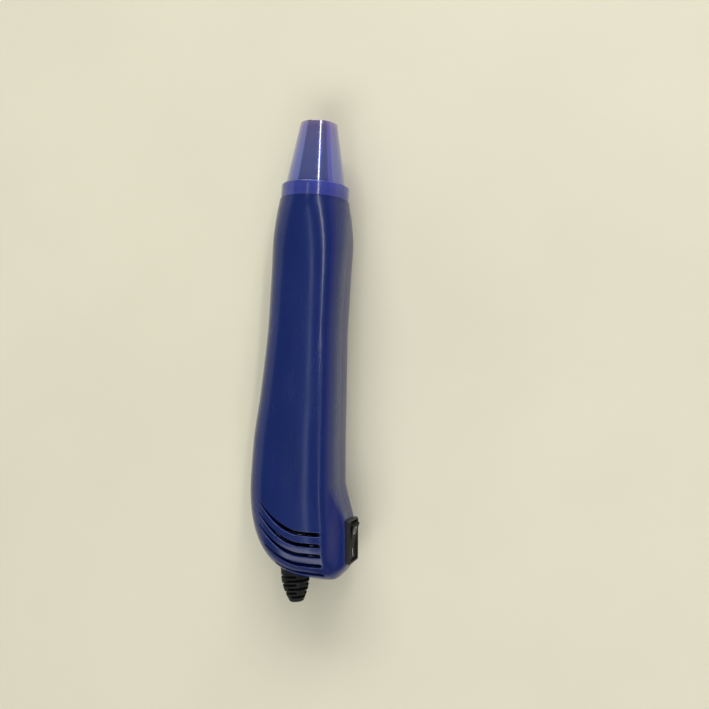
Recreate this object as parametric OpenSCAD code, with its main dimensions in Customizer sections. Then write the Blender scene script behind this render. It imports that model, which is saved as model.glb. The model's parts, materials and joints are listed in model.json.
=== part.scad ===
// Hand-held embossing heat tool.
// Two moulded casing halves hold a small fan, its motor and a mica heater,
// and the hot air leaves through a steel snout inside a coned nose.
// +Y runs from the cord end to the outlet, +X points to the switch side,
// +Z is up, and the tool lies on its flat back. Sizes in millimetres.

/* [Casing] */
// Half width of the handle near the cord end
rear_half_w = 22.2; // [21.6:0.1:22.8]
// Half width of the waist
waist_half_w = 18.5; // [18.2:0.1:19.2]
// Distance from the seam plane to the flat on the back
back_flat = 18.2; // [18:0.1:18.4]
// Wall thickness of both casing halves
wall = 2.2; // [2:0.1:2.3]

/* [Vents] */
// Number of air slots in each casing half
vent_count = 5; // [3:1:5]
// Width of an air slot at its wide end
vent_w = 1.9; // [1.4:0.1:2.2]

/* [Nose] */
// Radius of the collar band
collar_r = 16.8; // [16.6:0.1:17]
// Outer radius of the cone where it leaves the collar
cone_base_r = 14.8; // [14.6:0.05:14.85]
// Outer radius of the cone at its lip
lip_r = 9.3; // [9:0.1:9.5]
// Bore of the lip
lip_bore_r = 7.5; // [7.4:0.1:7.6]

/* [Air mover] */
// Number of fan blades
blade_count = 9; // [7:1:11]
// Radius of the fan
fan_r = 13.6; // [13:0.1:13.8]

/* [Heater] */
// Turns in the heating coil
coil_turns = 11; // [8:1:13]
// Thickness of the mica former plates
mica_t = 0.8; // [0.6:0.1:1]

/* [Switch] */
// Tilt of the rocker either side of level, in degrees
rocker_tilt = 6; // [4:1:7]

/* [Stand] */
// Diameter of the stand wire
stand_wire_d = 2.5; // [2.46:0.01:2.52]

/* [Hidden] */

// Place of the frame's origin: under the middle of the tool
x0 = 4.25;
y0 = 105.7;
rear_y = 0.9;         // rear end of the dome
front_y = 185.4;      // front face of the casing
K = 48;               // points round a casing section
blue = [0.10, 0.15, 0.40];

// Stations along the tool: [y, value]
HALF_W = [[0, rear_half_w], [40, rear_half_w], [49, rear_half_w],
    [68, rear_half_w - 0.7], [88, rear_half_w - 2], [112, waist_half_w + 0.4],
    [122, waist_half_w], [137, waist_half_w], [151, waist_half_w + 0.1],
    [166, waist_half_w + 0.4], [179, waist_half_w - 0.4], [185.4, 17.3], [200, 17.3]];
FLARE = [[0, 2.4], [13, 2.4], [25, 2], [42, 0.4], [55, 0], [200, 0]];
FRONT_T = [[0, 19.2], [49, 19.2], [68, 18.9], [88, 18.3], [112, 17.7], [122, 17.5],
    [151, 17.6], [166, 17.9], [179, 17.7], [185.4, 17.3], [200, 17.3]];
BACK_T = [[0, 19.8], [49, 19.8], [68, 19.6], [88, 19.2], [112, 18.9], [122, 18.8],
    [151, 18.8], [166, 18.9], [176, 18.4], [185.4, 17.3], [200, 17.3]];
FRONT_N = [[0, 2.9], [49, 2.8], [88, 2.7], [122, 2.6], [151, 2.5], [166, 2.35],
    [179, 2.1], [185.4, 2], [200, 2]];
// The front half is squarer on the switch side
SIDE_N = [[0, 3.6], [49, 3.8], [88, 3.7], [122, 3.4], [151, 3.1], [166, 2.7],
    [179, 2.2], [185.4, 2], [200, 2]];
BACK_N = [[0, 3.2], [49, 3.4], [88, 3.6], [122, 3.8], [151, 3.8], [166, 3.5],
    [175, 2.8], [185.4, 2], [200, 2]];
// Sideways bow of the casing's middle line
BOW = [[0, 0], [30, 0.1], [40, 0.25], [58, 0.6], [68, 0.75], [88, 0.2], [112, 0], [200, 0]];

function seg(y, T, i = 0) = (i >= len(T) - 2 || y < T[i + 1][0]) ? i : seg(y, T, i + 1);
function slope(T, i) = i == 0 ? (T[1][1] - T[0][1]) / (T[1][0] - T[0][0])
    : i == len(T) - 1 ? (T[i][1] - T[i - 1][1]) / (T[i][0] - T[i - 1][0])
    : (T[i + 1][1] - T[i - 1][1]) / (T[i + 1][0] - T[i - 1][0]);
function smooth(y, T) = let (i = seg(y, T), h = T[i + 1][0] - T[i][0],
    t = min(1, max(0, (y - T[i][0]) / h)), m0 = slope(T, i) * h, m1 = slope(T, i + 1) * h)
    (2 * t * t * t - 3 * t * t + 1) * T[i][1] + (t * t * t - 2 * t * t + t) * m0
    + (3 * t * t - 2 * t * t * t) * T[i + 1][1] + (t * t * t - t * t) * m1;
function sgn(v) = v < 0 ? -1 : 1;
// Rounding factor: 1 away from an end, falling to 0 at it
function round_off(u, n) = pow(max(0, 1 - pow(min(1, max(0, u)), n)), 1 / n);
// Side edges and depths of the section at y, set in by o
function edge_l(y, o) = 11 - smooth(y, BOW) - (11 + smooth(y, HALF_W) - o)
    * round_off((45 - y) / (45 - rear_y - o), 2.18);
function edge_r(y, o) = 11 - smooth(y, BOW) + (smooth(y, HALF_W) + smooth(y, FLARE) - 11 - o)
    * round_off((13 - y) / (13 - rear_y - o), 6);
function depth_f(y, o) = (smooth(y, FRONT_T) - o) * round_off((24 - y) / (24 - rear_y - o), 2.4);
function depth_b(y, o) = (smooth(y, BACK_T) - o) * round_off((24 - y) / (24 - rear_y - o), 2.4);
function ring(y, o) = let (l = edge_l(y, o), r = edge_r(y, o), cx = (l + r) / 2, a = (r - l) / 2)
    [for (j = [0:K - 1]) let (f = 360 * j / K, c = cos(f), s = sin(f),
        n = s < 0 ? smooth(y, BACK_N) : c > 0 ? smooth(y, SIDE_N) : smooth(y, FRONT_N),
        b = s >= 0 ? depth_f(y, o) : depth_b(y, o))
        [cx + a * sgn(c) * pow(abs(c), 2 / n), y, b * sgn(s) * pow(abs(s), 2 / n)]];
function stations(o, yf) = concat(
    [for (t = [3.5, 9, 15, 21, 27, 33, 40, 47, 54, 62, 71, 80, 90])
        rear_y + o + (45 - rear_y - o) * (1 - cos(t))],
    [for (i = [1:18]) 45 + 7.5 * i], [yf]);

// Closed solid through a row of like rings
module loft(rings) {
    k = len(rings[0]);
    m = len(rings);
    polyhedron(points = [for (r = rings) for (p = r) p],
        faces = concat(
            [[for (j = [k - 1:-1:0]) j]],
            [for (i = [0:m - 2]) for (j = [0:k - 1])
                [i * k + j, i * k + (j + 1) % k, (i + 1) * k + (j + 1) % k]],
            [for (i = [0:m - 2]) for (j = [0:k - 1])
                [i * k + j, (i + 1) * k + (j + 1) % k, (i + 1) * k + j]],
            [[for (j = [0:k - 1]) (m - 1) * k + j]]));
}
module body_solid(o, yf) { loft([for (y = stations(o, yf)) ring(y, o)]); }

module at() { translate([-x0, -y0, back_flat]) children(); }
module ycyl(r, y1, y2, x = 0, z = 0, r2 = -1, fn = 64) {
    translate([x, y1, z]) rotate([-90, 0, 0])
        cylinder(r1 = r, r2 = r2 < 0 ? r : r2, h = y2 - y1, $fn = fn);
}
module xcyl(r, x1, x2, y, z, fn = 32) {
    translate([x1, y, z]) rotate([0, 90, 0]) cylinder(r = r, h = x2 - x1, $fn = fn);
}
module ytube(ro, ri, y1, y2, x = 0, z = 0) {
    difference() { ycyl(ro, y1, y2, x, z); ycyl(ri, y1 - 1, y2 + 1, x, z); }
}
// Solid of revolution about the tool's axis from [radius, y] points
module rev(pts) { rotate([-90, 0, 0]) rotate_extrude($fn = 96) polygon(pts); }

// ---------- casing ----------
// Middle line of vent k: nested bows, flat to the switch side and
// swept forward to the other side
function vent_y(k, x) = [24.8, 19.5, 14.6, 9.7, 4.9][k]
    + [12, 12, 11.6, 10.5, 9][k] * pow(max(0, (8.5 - x) / 21), 1.85);
function vent_x0(k) = [-12.8, -12.8, -12.6, -9, -4][k];
function vent_x1(k) = 17.3 + 0.3 * k;
function vent_r(k, x) = min(vent_w / 2, 0.35 + (vent_w / 2 - 0.35) * (x - vent_x0(k)) / 14);
module vent_bars(z1, z2) {
    for (k = [0:vent_count - 1])
        for (i = [0:6]) {
            xa = vent_x0(k) + (vent_x1(k) - vent_x0(k)) * i / 7;
            xb = vent_x0(k) + (vent_x1(k) - vent_x0(k)) * (i + 1) / 7;
            hull() {
                translate([xa, vent_y(k, xa), z1]) cylinder(r = vent_r(k, xa), h = z2 - z1, $fn = 12);
                translate([xb, vent_y(k, xb), z1]) cylinder(r = vent_r(k, xb), h = z2 - z1, $fn = 12);
            }
        }
}
// Screw posts: [x, y]
POSTS = [[-14.1, 177.4], [14.1, 177.4], [-15, 41], [15, 41]];
relief_at = [0.9, 3.0];
relief_lean = 6.8;
switch_y = 20.3;
pivot_x = 26.3;       // rocker pivot
cant = 3;             // the switch follows the flare of the side
stand_y = 170;        // stand pivot
stand_z = -12.3;
bar_y = 110;          // stand's cross bar, stowed
bar_z = -16.0;
leg_x = 10.5;
wr = stand_wire_d / 2;

module relief_frame() {
    translate([relief_at[0], relief_at[1], 0]) rotate([0, 0, relief_lean])
        rotate([90, 0, 0]) children();
}
// Space kept free inside for duct, heater, motor and relief
module core_space() {
    ycyl(15.75, 47.4, 92.2);
    ycyl(15.75, 92.2, 112.2, 0, 0, 12.4);
    ycyl(12.4, 112.1, 129.4);
    ycyl(11.15, 129, 182);
    ycyl(13.2, 181, 192);
    relief_frame() translate([0, 0, -17.5]) cylinder(r = 7.12, h = 25, $fn = 48);
}
module ribs() {
    for (y = [54, 88, 134, 172.6]) translate([-30, y - 0.9, -30]) cube([60, 1.8, 60]);
    translate([-8.5, 9.3, -30]) cube([17, 1.7, 60]);
}
module canted() {
    translate([pivot_x, switch_y, 0]) rotate([0, 0, cant]) translate([-pivot_x, -switch_y, 0]) children();
}
module switch_pod() canted() {
    hull() for (p = [[28.3, 6.5, 33.4, 5.6], [28.3, 8.6, 32, 8.3], [25.8, 4.7, 37.8, 5.8],
        [25.8, 7.4, 36.2, 9.6], [22.6, 3.4, 42.4, 5.4], [22.6, 6.6, 40.5, 10.8]])
        translate([15, p[1], -p[3]]) cube([p[0] - 15, p[2] - p[1], 2 * p[3]]);
}
module switch_hole() canted() translate([12, switch_y - 9.75, -6.95]) cube([20, 19.5, 13.9]);
module spigot() { ytube(15.4, 13.2, 181, 187.7); }

module front_shell() at() color(blue) difference() {
    intersection() {
        union() { body_solid(0, front_y); spigot(); switch_pod(); }
        translate([-60, -20, 0]) cube([120, 260, 60]);
    }
    difference() {
        body_solid(wall, 190);
        difference() {
            union() {
                ribs();
                for (p = POSTS) translate([p[0], p[1], -1]) cylinder(r = 2.7, h = 30, $fn = 24);
            }
            core_space();
        }
        ytube(20, 13.2, 181, 193);
    }
    core_space();
    for (p = POSTS) translate([p[0], p[1], -1]) cylinder(r = 1.25, h = 10, $fn = 24);
    vent_bars(3, 40);
    switch_hole();
    for (s = [-1, 1]) translate([s * 17 - 1.2, 46, 0.3]) cube([2.4, 52, 2.4]);
}

module groove(r, w, drop) {
    for (s = [-1, 1]) hull() {
        xcyl(r, s * leg_x - w, s * leg_x + w, stand_y, stand_z);
        xcyl(r, s * leg_x - w, s * leg_x + w, bar_y, bar_z);
        xcyl(r, s * leg_x - w, s * leg_x + w, stand_y + 4, stand_z - drop);
        xcyl(r, s * leg_x - w, s * leg_x + w, bar_y, bar_z - drop);
    }
    hull() {
        xcyl(r, -leg_x - w, leg_x + w, bar_y, bar_z);
        xcyl(r, -leg_x - w, leg_x + w, bar_y, bar_z - drop);
    }
    for (s = [-1, 1]) intersection() {
        translate([s * (leg_x - 5), bar_y + 5, bar_z - drop]) difference() {
            cylinder(r = 5 + w, h = r + drop + 0.35, $fn = 48);
            translate([0, 0, -1]) cylinder(r = 5 - w, h = r + drop + 2.35, $fn = 48);
        }
        translate([s > 0 ? leg_x - 5 : -leg_x - 3, bar_y - 3, -40]) cube([8, 8, 40]);
    }
}
module back_shell() at() color(blue) difference() {
    intersection() {
        union() { body_solid(0, front_y); spigot(); switch_pod(); }
        translate([-60, -20, -back_flat]) cube([120, 260, back_flat]);
    }
    difference() {
        intersection() {
            body_solid(wall, 190);
            translate([-60, -20, wall - back_flat]) cube([120, 260, 60]);
        }
        difference() {
            union() {
                ribs();
                for (p = POSTS) translate([p[0], p[1], -30]) cylinder(r = 3.7, h = 31, $fn = 32);
                for (x = [-7.6, 4.4]) translate([x, 20, -30]) cylinder(r = 2.2, h = 32.4, $fn = 24);
                groove(3.2, 3.2, 8);
                for (s = [-1, 1]) xcyl(3.6, s < 0 ? -17 : 12.1, s < 0 ? -12.1 : 17, stand_y, stand_z);
                translate([-9, 101.5, -20]) cube([18, 6, 5.4]);
            }
            core_space();
        }
        ytube(20, 13.2, 181, 193);
    }
    core_space();
    for (p = POSTS) translate([p[0], p[1], -30]) {
        cylinder(r = 2.9, h = 23.4, $fn = 32);
        cylinder(r = 1.6, h = 40, $fn = 24);
    }
    for (x = [-7.6, 4.4]) translate([x, 20, -6]) cylinder(r = 0.9, h = 12, $fn = 24);
    groove(1.6, 1.6, 8);
    for (s = [-1, 1]) {
        xcyl(1.6, s < 0 ? -12.6 : 9, s < 0 ? -9 : 12.6, stand_y, stand_z);
        xcyl(2.15, s < 0 ? -14.4 : 12.4, s < 0 ? -12.4 : 14.4, stand_y, stand_z);
    }
    // thumb scoop behind the stowed bar
    translate([0, 105, -35]) sphere(r = 19.1, $fn = 64);
    vent_bars(-40, -3);
    switch_hole();
}

// ---------- nose ----------
module nose_collar() at() color([0.22, 0.24, 0.52])
    rev([[15.5, 185.55], [collar_r - 0.2, 185.55], [collar_r, 185.75], [collar_r, 191.7],
        [collar_r - 0.4, 192.5], [collar_r - 1.2, 192.9], [14.95, 192.9], [14.95, 191.6], [15.5, 191.6]]);
module nozzle_cone() at() color([0.26, 0.28, 0.52])
    rev([[13.1, 187.9], [15.4, 187.9], [15.4, 191.45], [cone_base_r, 191.45], [cone_base_r, 193.4],
        [cone_base_r - 1.3, 201], [cone_base_r - 3.35, 212], [lip_r + 0.1, 223.4], [lip_r - 0.5, 224],
        [lip_bore_r, 224], [lip_bore_r, 218], [9, 216], [13.1, 193]]);

// ---------- heater ----------
module heater_tube() at() color([0.72, 0.72, 0.74])
    rev([[10.5, 129.6], [11, 129.6], [11, 203], [6.4, 209], [6.4, 216.4], [5.8, 216.4],
        [5.8, 208.7], [10.5, 202.6]]);
module heater_flange() at() color([0.75, 0.75, 0.78])
    rev([[10.5, 127.5], [12.2, 127.5], [12.2, 129.2], [11.9, 129.55], [10.5, 129.55]]);
module mica_sleeve() at() color([0.80, 0.70, 0.48]) ytube(10.4, 10, 130, 202);
module mica_plate_long() at() color([0.82, 0.74, 0.52]) difference() {
    translate([-8.5, 129.8, -mica_t / 2]) cube([17, 72, mica_t]);
    translate([-mica_t / 2 - 0.05, 165.9, -2]) cube([mica_t + 0.1, 60, 4]);
}
module mica_plate_cross() at() color([0.78, 0.69, 0.46]) difference() {
    translate([-mica_t / 2, 131.8, -8.5]) cube([mica_t, 70, 17]);
    translate([-2, 120, -mica_t / 2 - 0.05]) cube([4, 45.9, mica_t + 0.1]);
}
coil_r = 9.05;
module heating_coil() at() color([0.55, 0.50, 0.46]) {
    steps = coil_turns * 20;
    y1 = 147;
    y2 = 199;
    loft([for (i = [0:steps]) let (f = 360 * coil_turns * i / steps,
        y = y1 + (y2 - y1) * i / steps)
        [for (j = [0:4]) let (g = 72 * j)
            [(coil_r + 0.35 * cos(g)) * cos(f), y + 0.35 * sin(g), -(coil_r + 0.35 * cos(g)) * sin(f)]]]);
}
module heater_terminals() at() color([0.80, 0.65, 0.30])
    for (x = [-6.9, 6.9]) difference() {
        translate([x - 1.4, 130.4, mica_t / 2]) cube([2.8, 12, 0.5]);
        translate([x, 133, 0]) cylinder(r = 0.6, h = 2, $fn = 24);
    }
module thermal_cutout() at() color([0.68, 0.68, 0.66]) union() {
    translate([0.9, 133, mica_t / 2]) cube([4.4, 11, 2.8]);
    translate([3.1, 138.5, mica_t / 2 + 2.7]) cylinder(r = 1.8, h = 0.7, $fn = 24);
}
module thermal_fuse() at() color([0.85, 0.82, 0.74]) union() {
    ycyl(1.5, 133, 142, -3, mica_t / 2 + 1.5, -1, 24);
    ycyl(0.4, 130.2, 146, -3, mica_t / 2 + 1.5, -1, 16);
}

// ---------- fan and motor ----------
module fan_duct() at() color([0.12, 0.12, 0.13]) difference() {
    rev([[14.3, 48], [15.6, 48], [15.6, 92], [12.2, 112], [12.2, 127.4], [11.2, 127.4],
        [11.2, 111.7], [14.3, 92]]);
    for (s = [-1, 1]) translate([s * 12 - 2, 116, 0.2]) cube([4, 12, 2.6]);
}
can_r = 10.2;
module motor_can() at() color([0.62, 0.63, 0.65]) union() {
    rev([[3.2, 62], [can_r, 62], [can_r, 88], [can_r - 0.6, 88], [can_r - 0.6, 62.7], [3.2, 62.7]]);
    rev([[2.6, 61], [3.4, 61], [3.4, 63.6], [2.6, 63.6]]);
}
module motor_end_cap() at() color([0.90, 0.89, 0.84]) difference() {
    union() { ycyl(can_r - 0.65, 86.8, 89.6); ycyl(3.8, 89.5, 91.2); }
    ycyl(2.6, 88, 90.4);
    ycyl(1.5, 80, 89);
    for (s = [-1, 1]) translate([s * 7 - 1, 80, -0.3]) cube([2, 12, 0.6]);
}
module motor_magnets() at() color([0.20, 0.20, 0.22])
    for (s = [0, 180]) rotate([0, s, 0]) rotate([-90, 0, 0]) translate([0, 0, 65])
        rotate([0, 0, -60]) rotate_extrude(angle = 120, $fn = 64)
            polygon([[7.9, 0], [9.5, 0], [9.5, 15], [7.9, 15]]);
module motor_bushes() at() color([0.72, 0.52, 0.28]) { ytube(2.6, 1.04, 61.2, 63.6); ytube(2.6, 1.04, 88, 90.4); }
module motor_brushes() at() color([0.30, 0.27, 0.25])
    for (s = [-1, 1]) {
        translate([s * 3.7 - 0.9, 83, -1]) cube([1.8, 2, 2]);
        translate([s > 0 ? 4.6 : -7.4, 83.7, -0.8]) cube([2.8, 0.5, 1.6]);
        translate([s * 7 - 0.4, 83.7, -0.8]) cube([0.8, 3.1, 1.6]);
    }
module motor_mount() at() color([0.14, 0.14, 0.15]) difference() {
    union() {
        ycyl(11.6, 68, 80);
        for (a = [0, 90, 180, 270]) rotate([0, a + 45, 0]) translate([10.8, 68, -0.9]) cube([3.44, 12, 1.8]);
    }
    ycyl(can_r, 60, 90);
}
module motor_shaft() at() color([0.78, 0.78, 0.80]) ycyl(1, 50, 90);
module armature() at() color([0.45, 0.46, 0.48]) difference() {
    ycyl(7.3, 66, 79);
    ycyl(1, 60, 90);
    for (a = [0, 120, 240]) rotate([0, a + 60, 0]) {
        translate([6, 65, -0.6]) cube([3, 15, 1.2]);
        translate([3, 65, -2.6]) cube([3.1, 15, 5.2]);
    }
}
module armature_windings() at() color([0.72, 0.38, 0.18])
    for (a = [0, 120, 240]) rotate([0, a + 60, 0]) translate([3.2, 65.2, -2.4]) cube([2.7, 14.6, 4.8]);
module commutator() at() color([0.74, 0.44, 0.22]) difference() {
    ycyl(2.6, 81, 86);
    ycyl(1, 80, 87);
    for (a = [0, 120, 240]) rotate([0, a, 0]) translate([1.9, 80, -0.15]) cube([1, 7, 0.3]);
}
module impeller() at() color([0.16, 0.16, 0.17]) difference() {
    union() {
        ycyl(4.6, 51.5, 59.5);
        intersection() {
            ycyl(fan_r, 50, 61);
            for (i = [0:blade_count - 1]) rotate([0, i * 360 / blade_count, 0])
                translate([4, 55.5, 0]) rotate([38, 0, 0]) translate([0, -4.6, -0.5]) cube([12, 9.2, 1]);
        }
    }
    ycyl(1, 40, 70);
}

// ---------- wiring ----------
module rectifier_board() at() color([0.16, 0.36, 0.20]) difference() {
    ycyl(9, 93.6, 95.2);
    for (s = [-1, 1]) ycyl(0.8, 90, 97, s * 7.4, 0, -1, 24);
}
module rectifier_diodes() at() color([0.10, 0.10, 0.11])
    for (x = [-4.2, -1.4, 1.4, 4.2]) union() {
        translate([x, 96.6, -2.4]) cylinder(r = 1.15, h = 4.8, $fn = 24);
        for (z = [-3.6, 3.1]) translate([x - 0.25, 95.2, z]) cube([0.5, 1.6, 0.5]);
        translate([x, 96.6, -3.6]) cylinder(r = 0.25, h = 7.2, $fn = 12);
    }
// Round lead along hand-set [x, y] points at height z
module lead(path, z, r) {
    n = len(path);
    loft([for (i = [0:n - 1]) let (a = path[max(0, i - 1)], b = path[min(n - 1, i + 1)],
        d = (b - a) / norm(b - a))
        [for (j = [0:7]) let (g = 45 * j)
            [path[i][0] + d[1] * r * cos(g), path[i][1] - d[0] * r * cos(g), z + r * sin(g)]]]);
}
LEAD_R = [[8.9, 25.4], [8.9, 30], [8.9, 34], [9.2, 39], [10.4, 43.2], [13.8, 45.6],
    [16.7, 47.2], [16.9, 53], [16.9, 66], [16.8, 80], [16.4, 92], [15.4, 103], [14.2, 113],
    [13, 120], [11, 125], [8.6, 128], [6.9, 130.2]];
module lead_wires() at() color([0.70, 0.12, 0.10]) {
    lead(LEAD_R, 1.5, 0.7);
    lead([for (p = LEAD_R) [p[1] < 34 ? 2 - p[0] : -p[0], p[1]]], 1.5, 0.7);
}

// ---------- switch ----------
module switch_body() at() color([0.07, 0.07, 0.07]) canted() difference() {
    union() {
        translate([28.3, switch_y - 10.5, -7.5]) cube([2, 21, 15]);
        translate([13.5, switch_y - 9.6, -6.85]) cube([14.9, 19.2, 13.7]);
    }
    translate([18, switch_y - 9.45, -6.05]) cube([20, 18.9, 12.1]);
    translate([pivot_x, switch_y, -6.65]) cylinder(r = 1.05, h = 13.3, $fn = 32);
}
module switch_terminals() at() color([0.80, 0.66, 0.32]) canted()
    for (y = [switch_y - 5, switch_y + 5]) difference() {
        translate([8.2, y - 0.4, -2.4]) cube([5.3, 0.8, 4.8]);
        translate([10, y, 0]) rotate([90, 0, 0]) cylinder(r = 0.8, h = 4, center = true, $fn = 24);
    }
module switch_rocker() at() color([0.08, 0.08, 0.08])
    translate([pivot_x, switch_y, 0]) rotate([0, 0, cant - rocker_tilt]) union() {
        difference() {
            translate([0, 0, -5.85]) cylinder(r = 9.3, h = 11.7, $fn = 96);
            translate([-20, -12, -8]) cube([16, 24, 16]);
            for (y = [-12, 6.4]) translate([-8, y, -8]) cube([7.6, 5.6, 16]);
            // shallow dished face
            translate([39.6, 0, -8]) cylinder(r = 36.2, h = 16, $fn = 128);
        }
        translate([0, 0, -6.6]) cylinder(r = 1, h = 13.2, $fn = 32);
    }

// ---------- cord entry ----------
module strain_relief() at() color([0.06, 0.06, 0.06]) relief_frame() difference() {
    rotate_extrude($fn = 64) polygon([[2.3, -11.5], [8, -11.5], [8, -9.7], [7, -9.7], [7, 3.4],
        [6.9, 4.6], [6.1, 4.8], [6, 5.7], [6.75, 5.9], [6.35, 7.8], [5.5, 8], [5.35, 8.9],
        [5.95, 9.1], [5.3, 11], [4.4, 11.2], [4.15, 12.1], [4.6, 12.3], [3.8, 14.3], [3.3, 15.3], [2.3, 15.3]]);
}
module cord_clamp() at() color([0.10, 0.10, 0.11]) difference() {
    translate([-9.9, 17.6, 2.4]) cube([16.6, 4.8, 2.6]);
    for (x = [-7.6, 4.4]) translate([x, 20, 0]) cylinder(r = 1.1, h = 10, $fn = 24);
}
module clamp_screws() at() color([0.70, 0.70, 0.72])
    for (x = [-7.6, 4.4]) difference() {
        union() {
            translate([x, 20, 5.05]) cylinder(r = 1.9, h = 1.2, $fn = 32);
            translate([x, 20, -4]) cylinder(r = 0.85, h = 9.2, $fn = 24);
        }
        for (a = [0, 90]) translate([x, 20, 6]) rotate([0, 0, a]) cube([2.2, 0.5, 1], center = true);
    }

// ---------- screws and stand ----------
module case_screws() at() color([0.72, 0.72, 0.74])
    for (p = POSTS) difference() {
        union() {
            translate([p[0], p[1], -8.6]) cylinder(r = 2.5, h = 2, $fn = 32);
            translate([p[0], p[1], -7]) cylinder(r = 1.2, h = 14, $fn = 24);
        }
        for (a = [0, 90]) translate([p[0], p[1], -8.5]) rotate([0, 0, a]) cube([2.8, 0.6, 1.6], center = true);
    }
module stand_bushes() at() color([0.74, 0.60, 0.30])
    for (s = [-1, 1]) difference() {
        xcyl(2.1, s < 0 ? -14.3 : 12.5, s < 0 ? -12.5 : 14.3, stand_y, stand_z);
        xcyl(1.3, s < 0 ? -15 : 12, s < 0 ? -12 : 15, stand_y, stand_z);
    }
leg_angle = atan2(stand_z - bar_z, stand_y - bar_y);
leg_len = norm([stand_z - bar_z, stand_y - bar_y]);
module wire_stand() at() color([0.80, 0.80, 0.82])
    translate([0, stand_y, stand_z]) rotate([leg_angle, 0, 0]) union() {
        for (s = [-1, 1]) {
            xcyl(wr, s < 0 ? -14.1 : leg_x + 2, s < 0 ? -leg_x - 2 : 14.1, 0, 0);
            translate([s * (leg_x + 2), -2, 0]) rotate([0, 0, s > 0 ? 90 : 0])
                rotate_extrude(angle = 90, $fn = 48) translate([2, 0]) circle(r = wr, $fn = 32);
            ycyl(wr, 5 - leg_len, -2, s * leg_x, 0, -1, 32);
            translate([s * (leg_x - 5), 5 - leg_len, 0]) rotate([0, 0, s > 0 ? -90 : 180])
                rotate_extrude(angle = 90, $fn = 64) translate([5, 0]) circle(r = wr, $fn = 32);
        }
        xcyl(wr, 5 - leg_x, leg_x - 5, -leg_len, 0);
    }

front_shell();
back_shell();
nose_collar();
nozzle_cone();
heater_tube();
heater_flange();
mica_sleeve();
mica_plate_long();
mica_plate_cross();
heating_coil();
heater_terminals();
thermal_cutout();
thermal_fuse();
fan_duct();
motor_can();
motor_end_cap();
motor_magnets();
motor_bushes();
motor_brushes();
motor_mount();
motor_shaft();
armature();
armature_windings();
commutator();
impeller();
rectifier_board();
rectifier_diodes();
lead_wires();
switch_body();
switch_terminals();
switch_rocker();
strain_relief();
cord_clamp();
clamp_screws();
case_screws();
stand_bushes();
wire_stand();
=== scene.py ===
import bpy, bmesh, json, math
import numpy as np
from mathutils import Vector, Matrix, geometry


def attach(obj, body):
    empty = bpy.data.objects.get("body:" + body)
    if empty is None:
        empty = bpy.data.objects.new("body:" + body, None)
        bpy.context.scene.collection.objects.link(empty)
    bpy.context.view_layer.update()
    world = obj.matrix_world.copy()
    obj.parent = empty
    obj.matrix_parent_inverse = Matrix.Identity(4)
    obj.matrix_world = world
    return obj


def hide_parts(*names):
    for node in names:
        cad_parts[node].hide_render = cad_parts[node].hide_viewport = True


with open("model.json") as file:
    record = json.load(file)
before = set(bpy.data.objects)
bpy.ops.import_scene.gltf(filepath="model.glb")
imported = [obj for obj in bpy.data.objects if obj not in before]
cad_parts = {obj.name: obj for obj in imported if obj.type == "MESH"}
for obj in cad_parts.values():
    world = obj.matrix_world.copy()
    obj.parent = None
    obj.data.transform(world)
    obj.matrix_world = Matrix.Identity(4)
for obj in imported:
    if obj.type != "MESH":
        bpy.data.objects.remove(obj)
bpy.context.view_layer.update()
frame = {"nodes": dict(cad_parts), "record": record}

N = frame["nodes"]

# Tool coordinates in mm: X towards the switch side, Y from the rear end to
# the lip, Z from the seam plane. W() takes them to the frame in metres.
X0, Y0, ZB = 4.25, 105.7, 18.2


def W(p):
    p = np.asarray(p, float)
    return (p + np.array([-X0, -Y0, ZB])) / 1000.0


# ------------------------------------------------------------------ casing form
REAR_Y, FRONT_Y = 0.9, 185.4
RW, WW = 22.2, 18.5
HALF_W = [[0, RW], [40, RW], [49, RW], [68, RW - .7], [88, RW - 2], [112, WW + .4], [122, WW], [137, WW],
          [151, WW + .1], [166, WW + .4], [179, WW - .4], [185.4, 17.3], [200, 17.3]]
FLARE = [[0, 2.4], [13, 2.4], [25, 2], [42, .4], [55, 0], [200, 0]]
FRONT_T = [[0, 19.2], [49, 19.2], [68, 18.9], [88, 18.3], [112, 17.7], [122, 17.5], [151, 17.6], [166, 17.9],
           [179, 17.7], [185.4, 17.3], [200, 17.3]]
BACK_T = [[0, 19.8], [49, 19.8], [68, 19.6], [88, 19.2], [112, 18.9], [122, 18.8], [151, 18.8], [166, 18.9],
          [176, 18.4], [185.4, 17.3], [200, 17.3]]
FRONT_N = [[0, 2.9], [49, 2.8], [88, 2.7], [122, 2.6], [151, 2.5], [166, 2.35], [179, 2.1], [185.4, 2], [200, 2]]
SIDE_N = [[0, 3.6], [49, 3.8], [88, 3.7], [122, 3.4], [151, 3.1], [166, 2.7], [179, 2.2], [185.4, 2], [200, 2]]
BACK_N = [[0, 3.2], [49, 3.4], [88, 3.6], [122, 3.8], [151, 3.8], [166, 3.5], [175, 2.8], [185.4, 2], [200, 2]]
BOW = [[0, 0], [30, .1], [40, .25], [58, .6], [68, .75], [88, .2], [112, 0], [200, 0]]


def table(y, T):
    T = np.array(T, float)
    y = np.asarray(y, float)
    i = np.clip(np.searchsorted(T[:, 0], y, side="right") - 1, 0, len(T) - 2)
    m = np.empty(len(T))
    m[0] = (T[1, 1] - T[0, 1]) / (T[1, 0] - T[0, 0])
    m[-1] = (T[-1, 1] - T[-2, 1]) / (T[-1, 0] - T[-2, 0])
    m[1:-1] = (T[2:, 1] - T[:-2, 1]) / (T[2:, 0] - T[:-2, 0])
    h = T[i + 1, 0] - T[i, 0]
    t = np.clip((y - T[i, 0]) / h, 0, 1)
    return ((2 * t ** 3 - 3 * t * t + 1) * T[i, 1] + (t ** 3 - 2 * t * t + t) * m[i] * h
            + (3 * t * t - 2 * t ** 3) * T[i + 1, 1] + (t ** 3 - t * t) * m[i + 1] * h)


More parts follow.
